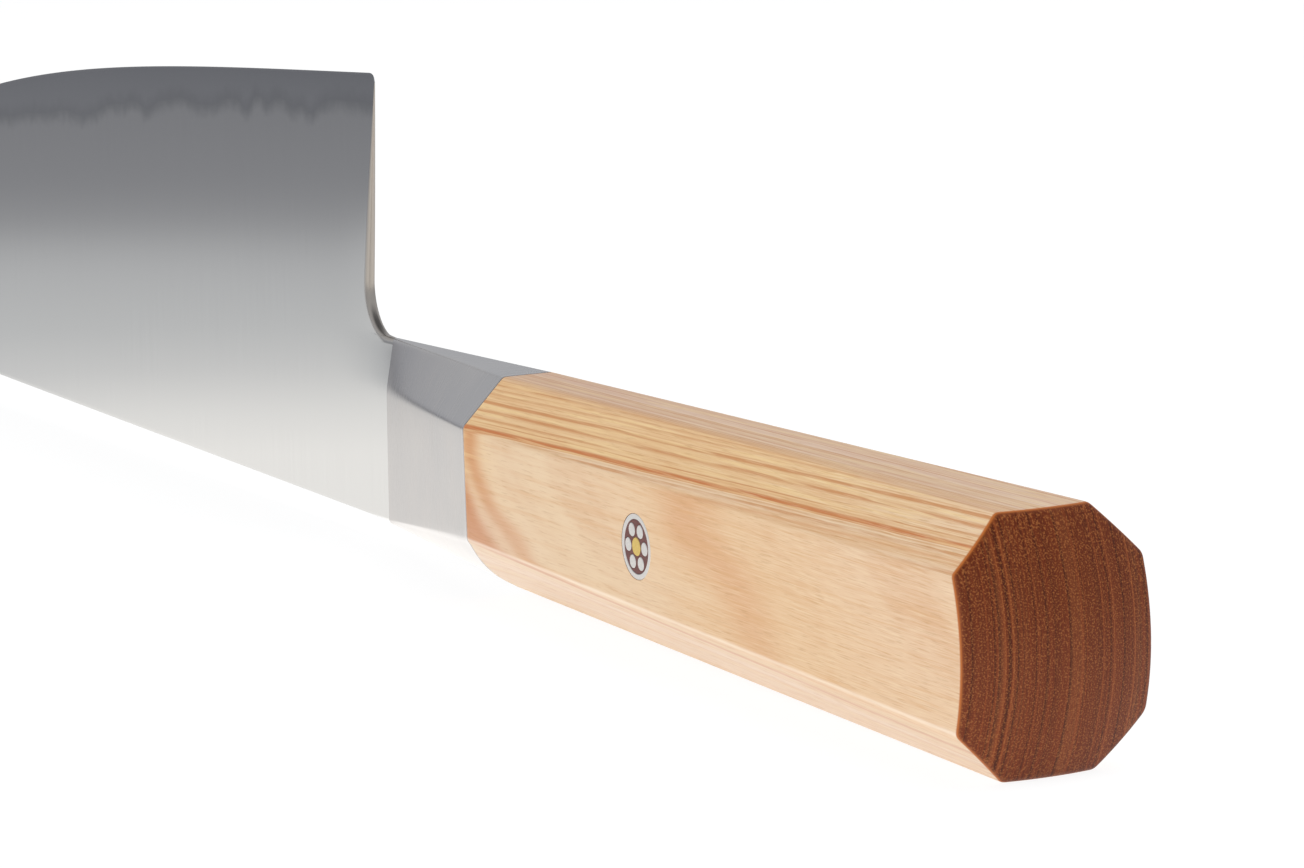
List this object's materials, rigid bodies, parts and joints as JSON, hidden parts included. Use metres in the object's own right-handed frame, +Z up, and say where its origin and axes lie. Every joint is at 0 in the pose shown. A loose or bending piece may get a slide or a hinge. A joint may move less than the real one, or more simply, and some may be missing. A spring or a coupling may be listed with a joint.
{
  "type": "gyuto knife",
  "caption": "Gyuto chef's knife: laminated steel blade, wedge-shaped steel bolster and tapered octagonal wooden handle with a mosaic pin.",
  "frame": {"origin": "under the middle of the knife's box, on the surface that it stands on, edge up", "axes": "+X along the knife to the butt of the handle, +Z up to the cutting edge, Y across the blade"},
  "size_m": [0.3452, 0.0178, 0.048],
  "materials": {
    "core_steel": "polished hard steel, darker than the cladding",
    "cladding_steel": "fine satin stainless steel",
    "bolster_steel": "fine belt-ground stainless steel",
    "tang_steel": "bare ground steel",
    "pale_wood": "oiled, pale on the long grain and red-brown on the end grain",
    "epoxy": "cured amber epoxy",
    "pin_metal": "sanded flush pale metal",
    "pin_brass": "sanded flush brass",
    "pin_resin": "sanded dark red-brown resin"
  },
  "bodies": {
    "root": {"blade_core": "core_steel", "cladding_left": "cladding_steel", "cladding_right": "cladding_steel", "bolster": "bolster_steel", "tang": "tang_steel", "handle": "pale_wood", "tang_epoxy_bed": "epoxy", "pin_sleeve": "pin_metal", "pin_centre_rod": "pin_brass", "pin_rod_1": "pin_metal", "pin_rod_2": "pin_metal", "pin_rod_3": "pin_metal", "pin_rod_4": "pin_metal", "pin_rod_5": "pin_metal", "pin_rod_6": "pin_metal", "pin_resin": "pin_resin"}
  },
  "joints": []
}
